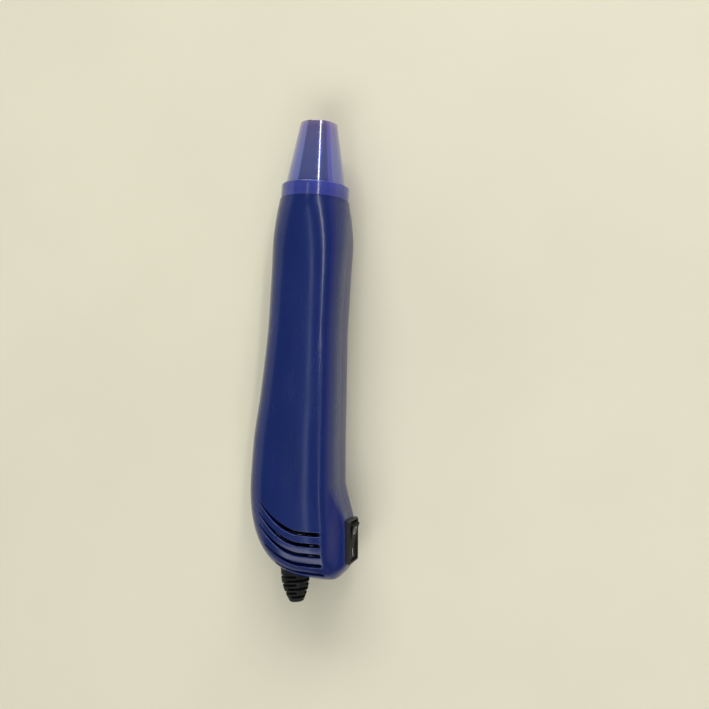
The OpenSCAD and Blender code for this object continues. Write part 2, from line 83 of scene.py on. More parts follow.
def off(u, n):
    u = np.clip(u, 0, 1)
    return np.clip(1 - u ** n, 0, None) ** (1 / n)


def edge_l(y):
    return 11 - table(y, BOW) - (11 + table(y, HALF_W)) * off((45 - y) / (45 - REAR_Y), 2.18)


def edge_r(y):
    return 11 - table(y, BOW) + (table(y, HALF_W) + table(y, FLARE) - 11) * off((13 - y) / (13 - REAR_Y), 6)


def depth(y, front):
    return table(y, FRONT_T if front else BACK_T) * off((24 - y) / (24 - REAR_Y), 2.4)


FINE = np.unique(np.concatenate([np.linspace(0, 1, 241) ** 1.6, 1 - np.linspace(0, 1, 241) ** 1.6])) * math.pi
FLAT = 18.2 - 0.02


def section(y, front):
    """Fine half section at y from the +X seam to the -X seam, with its length fraction."""
    l, r = float(edge_l(y)), float(edge_r(y))
    a, cx = (r - l) / 2, (r + l) / 2
    n = float(table(y, FRONT_N if front else BACK_N))
    b = float(depth(y, front))
    c, s = np.cos(FINE), np.clip(np.sin(FINE), 0, None)
    if front:
        n = np.where(c > 0, float(table(y, SIDE_N)), n)
    x = cx + a * np.sign(c) * np.abs(c) ** (2 / n)
    z = b * s ** (2 / n)
    if not front:
        k = 0.7
        d = z - FLAT
        z = np.minimum(z, FLAT) - k / 4 * np.clip(1 - np.abs(d) / k, 0, None) ** 2
        z = -np.clip(z, 0, None)
    q = np.concatenate([[0], np.cumsum(np.hypot(np.diff(x), np.diff(z)))])
    q /= max(q[-1], 1e-9)
    return x, z, q


# Raised pad on the right side that carries the rocker switch
def smax(a, b, k):
    return np.maximum(a, b) + k / 4 * np.clip(1 - np.abs(a - b) / k, 0, None) ** 2


def smin(a, b, k):
    return np.minimum(a, b) - k / 4 * np.clip(1 - np.abs(a - b) / k, 0, None) ** 2


SW_Y, PIV_X = 20.3, 26.3
CANT = math.radians(3)
TILT = math.radians(3 - 6)


def cant(P):
    """Turns points with the switch, which follows the flare of the side."""
    P = np.array(P, float)
    dx, dy = P[:, 0] - PIV_X, P[:, 1] - SW_Y
    c, s = math.cos(CANT), math.sin(CANT)
    P[:, 0], P[:, 1] = PIV_X + dx * c - dy * s, SW_Y + dx * s + dy * c
    return P


def uncant(x, y):
    dx, dy = x - PIV_X, y - SW_Y
    c, s = math.cos(CANT), math.sin(CANT)
    return PIV_X + dx * c + dy * s, SW_Y - dx * s + dy * c


def pad_f(x, y, z):
    u, v = uncant(x, y)
    w = np.abs(z)
    f = u - 28.3
    g = smax(.5843 * (u - 28.3) - .8115 * (v - 6.5), .3764 * (u - 25.8) - .9265 * (v - 4.7), 2.5)
    f = smax(f, g, 3)
    g = smax(.8694 * (u - 28.3) + .494 * (v - 33.4), .8209 * (u - 25.8) + .571 * (v - 37.8), 1.5)
    f = smax(f, g, 4)
    g = smax(.4613 * (u - 28.3) + .8872 * (w - 8.3), .3511 * (u - 25.8) + .9363 * (w - 9.6), 1.5)
    f = smax(f, g, 1.8)
    g = smax(.551 * (u - 28.3) - .718 * (v - 6.5) + .4255 * (w - 5.6),
             .2746 * (u - 22.6) - .8272 * (v - 3.4) + .4902 * (w - 5.4), 2.5)
    f = smax(f, g, 3)
    g = smax(.860 * (u - 28.3) + .481 * (v - 33.4) + .169 * (w - 5.6),
             .796 * (u - 22.6) + .571 * (v - 42.4) + .201 * (w - 5.4), 1.5)
    f = smax(f, g, 1.5)
    return smax(smax(f, 3.4 - v, .8), smax(v - 42.4, w - 10.8, .8), .8)


def with_pad(P):
    """Moves points on the casing out along +X onto the casing blended with the pad."""
    x, y, z = P[:, 0].copy(), P[:, 1], P[:, 2]
    near = (x > 15) & (y < 52) & (np.abs(z) < 16)
    if not near.any():
        return P
    xs, ys, zs = x[near], y[near], z[near]
    k = (4.2 + 1.6 * np.clip((ys - 28) / 10, 0, 1)) * np.clip((xs - 16.5) / 5, 0, 1) + .01
    lo, hi = xs.copy(), np.full_like(xs, 31.0)
    for _ in range(40):
        m = (lo + hi) / 2
        g = smin(m - xs, pad_f(m, ys, zs), k)
        out = g > 0
        hi = np.where(out, m, hi)
        lo = np.where(out, lo, m)
    x[near] = np.maximum(xs, (lo + hi) / 2)
    R = P.copy()
    R[:, 0] = x
    return R


def S(qs, ys, front):
    """Points on the finished outer surface of one half."""
    qs, ys = np.broadcast_arrays(np.asarray(qs, float), np.asarray(ys, float))
    P = np.empty((qs.size, 3))
    qf, yf = qs.ravel(), ys.ravel()
    for y in np.unique(yf):
        m = yf == y
        x, z, q = section(max(y, REAR_Y + 1e-5), front)
        P[m, 0] = np.interp(qf[m], q, x)
        P[m, 1] = y
        P[m, 2] = np.interp(qf[m], q, z)
    return with_pad(P)


def S_normal(qs, ys, front):
    hq, hy = 6e-4, 0.02
    q1, q0 = np.clip(qs + hq, 0, 1), np.clip(qs - hq, 0, 1)
    y1, y0 = np.minimum(ys + hy, FRONT_Y), np.maximum(ys - hy, REAR_Y + 1e-4)
    n = np.cross(S(q1, ys, front) - S(q0, ys, front), S(qs, y1, front) - S(qs, y0, front))
    n /= np.linalg.norm(n, axis=1)[:, None] + 1e-12
    return -n if front else n


def q_of_x(x, y, front):
    xs, z, q = section(max(y, REAR_Y + 1e-5), front)
    return float(np.interp(-x, -xs, q))


# ------------------------------------------------------------------ mesh helpers
def obj_from(name, verts, faces, body="casing", normals=None, mats=(), replaces=(), sharp=None):
    me = bpy.data.meshes.new(name)
    me.from_pydata([tuple(v) for v in W(verts)], [], [tuple(int(i) for i in f) for f in faces])
    me.validate(clean_customdata=False)
    me.update()
    me.polygons.foreach_set("use_smooth", [True] * len(me.polygons))
    ob = bpy.data.objects.new(name, me)
    bpy.context.scene.collection.objects.link(ob)
    for m in mats:
        me.materials.append(m)
    if sharp is not None:
        me.set_sharp_from_angle(angle=math.radians(sharp))
    if normals is not None and len(normals) == len(me.loops):
        me.normals_split_custom_set([tuple(n) for n in normals])
    elif normals is not None:
        me.normals_split_custom_set_from_vertices([tuple(n) for n in normals])
    if replaces:
        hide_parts(*replaces)
    if body:
        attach(ob, body)
    return ob


def fillet_poly(pts, radii, segs=5, closed=False):
    """Rounds the corners of a polyline in the plane."""
    pts = [np.array(p, float) for p in pts]
    n = len(pts)
    out = []
    for i, p in enumerate(pts):
        r = radii[i] if hasattr(radii, "__len__") else radii
        if (not closed and i in (0, n - 1)) or r <= 0:
            out.append(p)
            continue
        a, b = pts[i - 1] - p, pts[(i + 1) % n] - p
        la, lb = np.linalg.norm(a), np.linalg.norm(b)
        if la < 1e-9 or lb < 1e-9:
            out.append(p)
            continue
        a, b = a / la, b / lb
        cosv = np.clip(a @ b, -1, 1)
        ang = math.acos(cosv)
        if ang > math.pi - 0.03:
            out.append(p)
            continue
        t = min(r / math.tan(ang / 2), 0.48 * la, 0.48 * lb)
        rr = t * math.tan(ang / 2)
        c = p + (a + b) / np.linalg.norm(a + b) * (rr / math.sin(ang / 2))
        p0, p1 = p + a * t - c, p + b * t - c
        th = math.acos(np.clip(p0 @ p1 / (rr * rr), -1, 1))
        for k in range(segs + 1):
            f = k / segs
            w0, w1 = (math.sin((1 - f) * th) / math.sin(th), math.sin(f * th) / math.sin(th)) if th > 1e-6 else (1 - f, f)
            out.append(c + p0 * w0 + p1 * w1)
    return np.array(out)


def smooth_path(pts, n=24):
    """Catmull-Rom points through pts."""
    pts = np.array(pts, float)
    P = np.vstack([2 * pts[0] - pts[1], pts, 2 * pts[-1] - pts[-2]])
    out = []
    for i in range(1, len(P) - 2):
        for t in np.linspace(0, 1, n, endpoint=False):
            out.append(0.5 * (2 * P[i] + (P[i + 1] - P[i - 1]) * t
                              + (2 * P[i - 1] - 5 * P[i] + 4 * P[i + 1] - P[i + 2]) * t * t
                              + (-P[i - 1] + 3 * P[i] - 3 * P[i + 1] + P[i + 2]) * t ** 3))
    out.append(P[-2])
    return np.array(out)


def rings_mesh(rings, closed_ring=True, cap0=False, cap1=False, loop=False):
    """Faces through like rings of points."""
    k = len(rings[0])
    V = np.vstack(rings)
    F = []
    m = len(rings)
    for i in range(m if loop else m - 1):
        a, b = i * k, ((i + 1) % m) * k
        for j in range(k if closed_ring else k - 1):
            j2 = (j + 1) % k
            F.append((a + j, a + j2, b + j2, b + j))
    if cap0:
        F.append(tuple(range(k - 1, -1, -1)))
    if cap1:
        F.append(tuple((m - 1) * k + j for j in range(k)))
    return V, F


def revolve(profile, segs=144):
    """Closed [radius, y] outline turned about the tool's axis."""
    prof = np.array(profile, float)
    rings = []
    for r, y in prof:
        t = np.linspace(0, 2 * math.pi, segs, endpoint=False)
        rings.append(np.stack([r * np.cos(t), np.full(segs, y), r * np.sin(t)], 1))
    return rings_mesh(rings, loop=True)


def fix_normals(ob):
    bm = bmesh.new()
    bm.from_mesh(ob.data)
    bmesh.ops.recalc_face_normals(bm, faces=bm.faces)
    bm.to_mesh(ob.data)
    bm.free()
    ob.data.update()


# ------------------------------------------------------------------ casing halves
VENT_W = 1.9


def vent_y(k, x):
    return [24.8, 19.5, 14.6, 9.7, 4.9][k] + [12, 12, 11.6, 10.5, 9][k] * np.clip((8.5 - x) / 21, 0, None) ** 1.85


def vent_ends(k):
    return [-12.8, -12.8, -12.6, -9, -4][k], 17.3 + .3 * k


def vent_outline(k, d):
    """Outline of slot k let out by d, always with the same number of points."""
    xa, xb = vent_ends(k)
    x = np.linspace(xa, xb, 46)
    y = vent_y(k, x)
    t = np.stack([np.gradient(x), np.gradient(y)], 1)
    t /= np.linalg.norm(t, axis=1)[:, None]
    nrm = np.stack([-t[:, 1], t[:, 0]], 1)
    r = np.minimum(VENT_W / 2, .35 + (VENT_W / 2 - .35) * (x - xa) / 14) + d
    c = np.stack([x, y], 1)
    up, dn = c + nrm * r[:, None], c - nrm * r[:, None]
    ends = []
    for i, s in ((-1, 1), (0, -1)):
        a = np.linspace(0, math.pi, 10)[1:-1]
        ends.append(c[i] + r[i] * (np.cos(a)[:, None] * nrm[i] * s + np.sin(a)[:, None] * t[i] * s))
    return np.vstack([up, ends[0], dn[::-1], ends[1]])


def inside_poly(pts, poly):
    x, y = pts[:, 0], pts[:, 1]
    r = np.zeros(len(pts), bool)
    j = len(poly) - 1
    for i in range(len(poly)):
        xi, yi, xj, yj = *poly[i], *poly[j]
        hit = ((yi > y) != (yj > y))
        if yi != yj:
            r ^= hit & (x < (xj - xi) * (y - yi) / (yj - yi) + xi)
        j = i
    return r


def near_poly(pts, poly, d):
    a, b = poly, np.roll(poly, -1, 0)
    out = np.zeros(len(pts), bool)
    for p, q in zip(a, b):
        v = q - p
        t = np.clip(((pts - p) @ v) / (v @ v + 1e-12), 0, 1)
        out |= np.linalg.norm(pts - (p + t[:, None] * v), axis=1) < d
    return out


LEN = 72.0
RELIEF_AT = np.array([.9, 3.0, 0])
RELIEF_D = np.array([.118404, -.992966, 0])
WALL = 2.1
RF = .38


def half_shell(front):
    eps = np.array([0, .0006, .004, .013, .03, .06, .11, .18, .28, .42, .6, .82, 1.08, 1.4, 1.8, 2.2])
    ys = np.concatenate([REAR_Y + eps, np.arange(3.6, 46.5, .5), np.arange(47, 184.6, 1.15), [185.1, FRONT_Y - .12, FRONT_Y]])
    qs = np.unique(np.concatenate([[0, .0024, .005, .009], np.linspace(.014, .24, 36), np.linspace(.24, .976, 72),
                                   [.984, .99, .995, .9976, 1]]))
    ny, nq = len(ys), len(qs)
    Q, Y = np.meshgrid(qs, ys)
    P = S(Q.ravel(), Y.ravel(), front).reshape(ny, nq, 3)
    Nn = S_normal(Q.ravel(), Y.ravel(), front).reshape(ny, nq, 3)
    Nn[0] = [0, -1, 0]
    zs = 1.0 if front else -1.0
    # seam and front edge are eased
    for j in (0, nq - 1):
        P[:, j] -= Nn[:, j] * .13
        P[:, j, 2] = zs * .012
        Nn[:, j] += np.array([0, 0, -zs]) * .9
    P[-1] -= Nn[-1] * .14
    Nn[-1] += np.array([0, .9, 0])
    Nn /= np.linalg.norm(Nn, axis=2)[:, :, None]
    V, VN, base_q = P.reshape(-1, 3).tolist(), Nn.reshape(-1, 3).tolist(), None
    idx = np.arange(ny * nq).reshape(ny, nq)
    idx[0, :] = idx[0, 0]
    # patch that holds the slots
    rings0 = []
    for k in range(5):
        o = vent_outline(k, RF)
        q = np.array([q_of_x(x, y, front) for x, y in o])
        rings0.append((q, o[:, 1]))
    q_lo = min(r[0].min() for r in rings0) - .012
    q_hi = max(r[0].max() for r in rings0) + .012
    y_lo, y_hi = min(r[1].min() for r in rings0) - .35, max(r[1].max() for r in rings0) + .6
    j0, j1 = np.searchsorted(qs, q_lo) - 1, np.searchsorted(qs, q_hi)
    i0, i1 = np.searchsorted(ys, y_lo) - 1, np.searchsorted(ys, y_hi)
    F = []
    for i in range(ny - 1):
        for j in range(nq - 1):
            if i0 <= i < i1 and j0 <= j < j1:
                continue
            f = [idx[i, j], idx[i, j + 1], idx[i + 1, j + 1], idx[i + 1, j]]
            if i == 0:
                f = [idx[0, 0], idx[1, j + 1], idx[1, j]]
            F.append(f)
    # constrained triangulation of the patch
    pid, pco = [], []
    for i in range(i0, i1 + 1):
        for j in range(j0, j1 + 1):
            pid.append(int(idx[i, j]))
            pco.append((qs[j] * LEN, ys[i]))
    pco = np.array(pco)
    border = [(i0, j) for j in range(j0, j1)] + [(i, j1) for i in range(i0, i1)] + \
             [(i1, j) for j in range(j1, j0, -1)] + [(i, j0) for i in range(i1, i0, -1)]
    bset = {int(idx[i, j]) for i, j in border}
    polys = [np.stack([q * LEN, y], 1) for q, y in rings0]
    keep = np.ones(len(pco), bool)
    for pl in polys:
        keep &= ~inside_poly(pco, pl) & ~near_poly(pco, pl, .3)
    keep |= np.array([i in bset for i in pid])
    ids = [i for i, k in zip(pid, keep) if k]
    co = [tuple(c) for c, k in zip(pco, keep) if k]
    edges = []
    loc = {g: n for n, g in enumerate(ids)}
    bl = [loc[int(idx[i, j])] for i, j in border]
    edges += list(zip(bl, bl[1:] + bl[:1]))
    ring_ids = []
    for (q, y), pl in zip(rings0, polys):
        pts = S(q, y, front)
        nn = S_normal(q, y, front)
        start = len(V)
        V += pts.tolist()
        VN += nn.tolist()
        me_ids = list(range(start, start + len(q)))
        ring_ids.append(me_ids)
        l0 = len(co)
        co += [tuple(c) for c in pl]
        ids += me_ids
        ll = list(range(l0, l0 + len(q)))
        edges += list(zip(ll, ll[1:] + ll[:1]))
    vc, _, tris, ov, _, _ = geometry.delaunay_2d_cdt([Vector(c) for c in co], edges, [], 0, 1e-7, True)
    vc = np.array([tuple(v) for v in vc])
    back = [o[0] if len(o) else -1 for o in ov]
    cent = np.array([vc[list(t)].mean(0) for t in tris])
    drop = np.zeros(len(tris), bool)
    for pl in polys:
        drop |= inside_poly(cent, pl)
    a3 = np.array([np.cross(vc[t[1]] - vc[t[0]], vc[t[2]] - vc[t[0]]) for t in tris])
    for t, d, a in zip(tris, drop, a3):
        if d or abs(a) < 1e-9 or any(back[v] < 0 for v in t):
            continue
        t = list(t) if a > 0 else list(t)[::-1]
        F.append([ids[back[v]] for v in t])
    # room for the switch
    V = np.array(V)
    VN = np.array(VN)
    vu, vv = uncant(V[:, 0], V[:, 1])
    inside = (np.abs(vv - SW_Y) < 10.2) & (np.abs(V[:, 2]) < 7.2) & (vu > 20)
    inside |= (np.linalg.norm(V - RELIEF_AT - np.outer((V - RELIEF_AT) @ RELIEF_D, RELIEF_D), axis=1) < 5.6) & (V[:, 1] < 9)
    F = [f for f in F if not all(inside[v] for v in f)]
    # inner skin and rims
    nb = len(V)
    inner = V - VN * WALL
    inner[:, 2] = np.maximum(inner[:, 2], .012) if front else np.minimum(inner[:, 2], -.012)
    inner[:, 1] = np.where(V[:, 1] > FRONT_Y - .01, FRONT_Y, inner[:, 1])
    count = {}
    for f in F:
        for a, b in zip(f, f[1:] + f[:1]):
            count[(a, b)] = count.get((a, b), 0) + 1
    slot_v = {v for r in ring_ids for v in r}
    rims = [(a, b) for (a, b) in count if (b, a) not in count and not (a in slot_v and b in slot_v)]
    V = np.vstack([V, inner])
    VN = np.vstack([VN, -VN])
    F += [[v + nb for v in f[::-1]] for f in F]
    F += [[b, a, a + nb, b + nb] for a, b in rims]
    # rounded slot edges and slot walls
    V, VN = V.tolist(), VN.tolist()
    for k, r0 in enumerate(ring_ids):
        prev = r0
        o0 = vent_outline(k, RF)
        for th, dep in ((30, None), (60, None), (90, None), (90, WALL * .98)):
            c, s = math.cos(math.radians(th)), math.sin(math.radians(th))
            o = vent_outline(k, RF * (1 - s))
            q = np.array([q_of_x(x, y, front) for x, y in o])
            pts = S(q, o[:, 1], front)
            n0 = S_normal(q, o[:, 1], front)
            dd = RF * (1 - c) if dep is None else dep
            d2 = o0 - vent_outline(k, 0)
            d2 /= np.linalg.norm(d2, axis=1)[:, None]
            tow = -np.concatenate([d2, np.zeros((len(d2), 1))], 1)
            tow -= n0 * (tow * n0).sum(1)[:, None]
            tow /= np.linalg.norm(tow, axis=1)[:, None]
            start = len(V)
            V += (pts - n0 * dd).tolist()
            VN += (n0 * c + tow * s).tolist()
            cur = list(range(start, start + len(q)))
            F += [[prev[i], prev[(i + 1) % len(cur)], cur[(i + 1) % len(cur)], cur[i]] for i in range(len(cur))]
            prev = cur
        F += [[prev[i], prev[(i + 1) % len(prev)], r0[(i + 1) % len(prev)] + nb, r0[i] + nb] for i in range(len(prev))]
    V, VN = np.array(V), np.array(VN)
    VN /= np.linalg.norm(VN, axis=1)[:, None] + 1e-12
    if front:
        F = [f[::-1] for f in F]
    used = sorted({v for f in F for v in f})
    new = {v: n for n, v in enumerate(used)}
    return V[used], [[new[v] for v in f] for f in F], VN[used]


# ------------------------------------------------------------------ nose
def collar_mesh():
    p = [(15.5, 185.55), (16.8, 185.55), (16.8, 192.9), (14.95, 192.9), (14.95, 191.6), (15.5, 191.6)]
    return revolve(fillet_poly(p, [.05, .28, 1.15, .2, .05, .05], 7, True), 192)


def cone_mesh():
    curve = smooth_path([(14.8, 193.4), (13.5, 201), (11.45, 212), (9.4, 223.4)], 16)
    rim = fillet_poly([(9.46, 222.9), (9.4, 224), (7.5, 224), (7.5, 221)], [0, .5, .35, 0], 6)
    inn = fillet_poly([(7.5, 218), (9, 216), (13.1, 193), (13.1, 187.9), (15.4, 187.9), (15.4, 191.45), (14.8, 191.45)],
                      [0, .6, .6, .1, .1, .1, 0], 4)
    curve = curve[curve[:, 1] < 222.7]
    return revolve(np.vstack([curve, rim, inn]), 192)


# ------------------------------------------------------------------ switch
def rrect(hy, hz, r, x, n=9):
    pts = []
    for cy, cz, a0 in ((1, 1, 0), (-1, 1, 90), (-1, -1, 180), (1, -1, 270)):
        for t in np.linspace(a0, a0 + 90, n):
            pts.append((x, SW_Y + cy * (hy - r) + r * math.cos(math.radians(t)), cz * (hz - r) + r * math.sin(math.radians(t))))
    return np.array(pts)


def frame_mesh():
    rows = [(9.45, 6.05, .5, 18), (9.45, 6.05, .5, 29.65), (9.49, 6.09, .54, 29.9), (9.6, 6.2, .65, 30.13), (9.78, 6.4, .8, 30.27),
            (9.95, 6.75, .95, 30.3), (10.12, 7.08, 1.1, 30.27), (10.32, 7.32, 1.2, 30.14), (10.45, 7.45, 1.25, 29.92),
            (10.5, 7.5, 1.28, 29.6), (10.5, 7.5, 1.28, 27.7), (10.42, 7.42, 1.2, 27.6), (9.6, 6.85, .4, 27.59), (9.6, 6.85, .4, 13.5)]
    V, F = rings_mesh([rrect(*r) for r in rows], True, True, True)
    return cant(V), F


def dish(y):
    return 39.6 - np.sqrt(36.2 ** 2 - np.asarray(y, float) ** 2)


def rocker_place(L):
    """Local rocker points (x out, y along, z across) to tool coordinates at rest."""
    L = np.asarray(L, float)
    c, s = math.cos(TILT), math.sin(TILT)
    return np.stack([PIV_X + L[:, 0] * c - L[:, 1] * s, SW_Y + L[:, 0] * s + L[:, 1] * c, L[:, 2]], 1)


def rocker_mesh():
    ye = 8.21
    ys = np.linspace(-ye, ye, 41)
    face = np.stack([dish(ys), ys], 1)
    a0 = math.atan2(ye, float(dish(ye)))
    a1 = math.acos(-.4 / 9.3)
    arc = [(9.3 * math.cos(t), 9.3 * math.sin(t)) for t in np.linspace(a0, a1, 15)[1:]]
    arc2 = [(x, -y) for x, y in arc[::-1]]
    out = np.vstack([face, arc, [(-.4, 6.4), (-4, 6.4), (-4, -6.4), (-.4, -6.4)], arc2])
    rad = np.zeros(len(out))
    rad[0] = rad[40] = .38
    # denser near the two upper corners, where they are rounded
    out = fillet_poly(out, rad, 6, True)
    t = np.roll(out, -1, 0) - np.roll(out, 1, 0)
    t /= np.linalg.norm(t, axis=1)[:, None]
    inw = np.stack([-t[:, 1], t[:, 0]], 1)
    rings = []
    R = .5
    for a in np.linspace(0, 90, 7):
        d, z = R * (1 - math.sin(math.radians(a))), 5.85 - R + R * math.cos(math.radians(a))
        rings.append(np.column_stack([out + inw * d, np.full(len(out), z)]))
    mids = [np.column_stack([out, np.full(len(out), z)]) for z in np.linspace(5.35, -5.35, 12)[1:-1]]
    low = [np.column_stack([r[:, :2], -r[:, 2]]) for r in rings[::-1]]
    V, F = rings_mesh(rings + mids + low, True, True, True)
    return rocker_place(V), F


def mark_mesh(outer, inner=None):
    """Thin painted mark on the dished face, from loops of [y, z] points."""
    top, low = .035, -.12
    lift = lambda L, h: np.column_stack([dish(L[:, 0]) + h, L[:, 0], L[:, 1]])
    if inner is None:
        V, F = rings_mesh([lift(outer, low), lift(outer, top - .01), lift(outer * .985 + outer.mean(0) * .015, top)], True, True, True)
    else:
        mid = (outer + inner) / 2
        V, F = rings_mesh([lift(outer, low), lift(outer, top - .012), lift(outer * .9 + mid * .1, top), lift(mid, top),
                           lift(inner * .9 + mid * .1, top), lift(inner, top - .012), lift(inner, low)], True, False, False, True)
    return rocker_place(V), F


def ring_loop(cy, cz, ry, rz, n=48):
    t = np.linspace(0, 2 * math.pi, n, endpoint=False)
    return np.stack([cy + ry * np.cos(t), cz + rz * np.sin(t)], 1)


def bar_loop(cy, cz, hy, hz, r=.22):
    pts = fillet_poly([(cy - hy, cz - hz), (cy + hy, cz - hz), (cy + hy, cz + hz), (cy - hy, cz + hz)], r, 4, True)
    out = []
    for a, b in zip(pts, np.roll(pts, -1, 0)):
        m = max(1, int(np.linalg.norm(b - a) / .4))
        out += [a + (b - a) * i / m for i in range(m)]
    return np.array(out)


# ------------------------------------------------------------------ cord sleeve
def relief_mesh():
    env = lambda s: np.interp(s, [-.2, 3.4, 5, 6.5, 8, 9.5, 11, 12.3, 13.5, 14.6, 15.3], [7, 7, 6.86, 6.62, 6.3, 5.86, 5.32, 4.8, 4.2, 3.66, 3.3])
    nphi = 144
    phi = np.linspace(0, 2 * math.pi, nphi, endpoint=False)
    rows = []
    pitch, first = 2.05, 2.35
    s = np.concatenate([[-11.5, -9.75], [-9.7], np.linspace(-9.65, .9, 6), np.arange(1.0, 14.9, .085), [14.9, 15.0, 15.1, 15.2]])

    def edge(v, w=.13):
        return 1 / (1 + np.exp(-np.clip(v / w * 2.2, -40, 40)))
    for v in s:
        if v <= -9.72:
            r = np.full(nphi, 8.0)
        elif v < 1:
            r = np.full(nphi, 7.0)
        else:
            r = np.full(nphi, float(env(v)))
            for k in range(6):
                c = first + pitch * k
                g = edge(.48 - abs(v - c))
                if g > 1e-3:
                    w = 24 if k < 5 else 30
                    p0 = 90 * (k % 2) + 45
                    d = np.abs((np.degrees(phi) - p0 + 90) % 180 - 90)
                    br = edge(d - w, 3.0)
                    deep = min(1.5, float(env(v)) - 2.95)
                    r = r - deep * g * br
            if v > 14.85:
                r = r - (.45 - math.sqrt(max(0, .45 ** 2 - (v - 14.85) ** 2)))
        rows.append((v, r))
    rows += [(15.3, np.full(nphi, 2.75)), (15.28, np.full(nphi, 2.5)), (15.15, np.full(nphi, 2.33)), (14.9, np.full(nphi, 2.3)),
             (0, np.full(nphi, 2.3)), (-11.5, np.full(nphi, 2.3))]
    ax, az = np.array([.992966, .118404, 0]), np.array([0, 0, 1.0])
    rings = [RELIEF_AT + v * RELIEF_D + np.outer(r * np.cos(phi), ax) + np.outer(r * np.sin(phi), az) for v, r in rows]
    return rings_mesh(rings, True, False, False, True)


# ------------------------------------------------------------------ stand
def tube(path, r, n=24, cap=.35):
    path = np.array(path, float)
    T = np.gradient(path, axis=0)
    T /= np.linalg.norm(T, axis=1)[:, None]
    u = np.cross(T[0], [0.1, 0.2, 1.0])
    u /= np.linalg.norm(u)
    rings = []
    a = np.linspace(0, 2 * math.pi, n, endpoint=False)
    for i, (p, t) in enumerate(zip(path, T)):
        u = u - t * (u @ t)
        u /= np.linalg.norm(u)
        w = np.cross(t, u)
        ring = lambda c, rr: c + rr * (np.outer(np.cos(a), u) + np.outer(np.sin(a), w))
        if i == 0 and cap:
            for f in np.linspace(90, 0, 5)[:-1]:
                rings.append(ring(p + t * cap * (1 - math.sin(math.radians(f))), r - cap + cap * math.cos(math.radians(f))))
            p = p + t * cap
        if i == len(path) - 1 and cap:
            p = p - t * cap
        rings.append(ring(p, r))
        if i == len(path) - 1 and cap:
            for f in np.linspace(0, 90, 5)[1:]:
                rings.append(ring(p + t * cap * math.sin(math.radians(f)), r - cap + cap * math.cos(math.radians(f))))
    return rings_mesh(rings, True, True, True)


LEG_X = 10.5
LEG_A, LEG_L = math.atan2(3.7, 60), math.hypot(3.7, 60)


def stand_path():
    h = [(14.1, 0), (13.2, 0)]
    for t in np.linspace(90, 180, 12):
        h.append((12.5 + 2 * math.cos(math.radians(t)), -2 + 2 * math.sin(math.radians(t))))
    h += [(LEG_X, y) for y in np.linspace(-4, 6 - LEG_L, 12)]
    for t in np.linspace(0, -90, 16):
        h.append((LEG_X - 5 + 5 * math.cos(math.radians(t)), 5 - LEG_L + 5 * math.sin(math.radians(t))))
    h += [(x, -LEG_L) for x in (4, 2)]
    pts = h + [(0, -LEG_L)] + [(-x, y) for x, y in h[::-1]]
    c, s = math.cos(LEG_A), math.sin(LEG_A)
    return [(x, 170 + y * c, -12.3 + y * s) for x, y in pts]


# ------------------------------------------------------------------ back of the casing
POSTS = [(-14.1, 177.4), (14.1, 177.4), (-15, 41), (15, 41)]


def back_z(x, y):
    """Height of the outer back surface under (x, y)."""
    xs, z, q = section(y, False)
    return float(np.interp(-x, -xs, z))


def wire_z(y):
    return -12.3 - 3.7 * min(1.0, (170 - min(y, 170)) / 60)


def channel_path(y_end):
    h = [(LEG_X, y) for y in np.linspace(y_end, 116, 40)]
    h += [(LEG_X - 5 + 5 * math.cos(t), 115 + 5 * math.sin(t)) for t in np.radians(np.linspace(0, -90, 15))]
    h += [(x, 110) for x in (4, 2.5, 1)]
    return np.array(h + [(-x, y) for x, y in h[::-1]])


def channel(y_end, section_at):
    p = channel_path(y_end)
    t = np.gradient(p, axis=0)
    t /= np.linalg.norm(t, axis=1)[:, None]
    n = np.stack([-t[:, 1], t[:, 0]], 1)
    rings = []
    for c, m in zip(p, n):
        rings.append([(c[0] + m[0] * d, c[1] + m[1] * d, z) for d, z in section_at(c, m)])
    return rings_mesh([np.array(r) for r in rings], True, True, True)


def groove_cut(c, m):
    zc, zm = wire_z(c[1]), -18.18
    a = np.radians(np.linspace(0, 180, 15))
    pts = [(1.6 * math.cos(t), zc + 1.6 * math.sin(t)) for t in a]
    fl = np.radians(np.linspace(0, 90, 6))
    left = [(-1.6 - .42 * (1 - math.cos(t)), zm + .42 * (1 - math.sin(t))) for t in fl]
    left += [(-2.05, zm - .1), (-2.05, -21)]
    return pts + left + [(-d, z) for d, z in left[::-1]]


def groove_wall(c, m):
    zt, hw, r = wire_z(c[1]) + 3.0, 2.95, 1.2
    zb = [back_z(c[0] + m[0] * d, c[1] + m[1] * d) + 1.05 for d in (hw, -hw)]
    arc = np.radians(np.linspace(0, 90, 5))
    right = [(hw - r + r * math.cos(t), zt - r + r * math.sin(t)) for t in arc]
    return [(hw, zb[0])] + right + [(-d, z) for d, z in right[::-1]] + [(-hw, zb[1])]


def around_z(x, y, profile, n=48):
    """Closed form turned round an upright axis, from [radius, z] with both ends on the axis."""
    t = np.linspace(0, 2 * math.pi, n, endpoint=False)
    V = [(x, y, profile[0][1])]
    for r, z in profile[1:-1]:
        V += [(x + r * math.cos(a), y + r * math.sin(a), z(x + r * math.cos(a), y + r * math.sin(a)) if callable(z) else z) for a in t]
    V.append((x, y, profile[-1][1]))
    m = len(profile) - 2
    F = [(0, 1 + (j + 1) % n, 1 + j) for j in range(n)]
    for i in range(m - 1):
        a, b = 1 + i * n, 1 + (i + 1) * n
        F += [(a + j, a + (j + 1) % n, b + (j + 1) % n, b + j) for j in range(n)]
    a, e = 1 + (m - 1) * n, 1 + m * n
    F += [(a + j, a + (j + 1) % n, e) for j in range(n)]
    return np.array(V), F


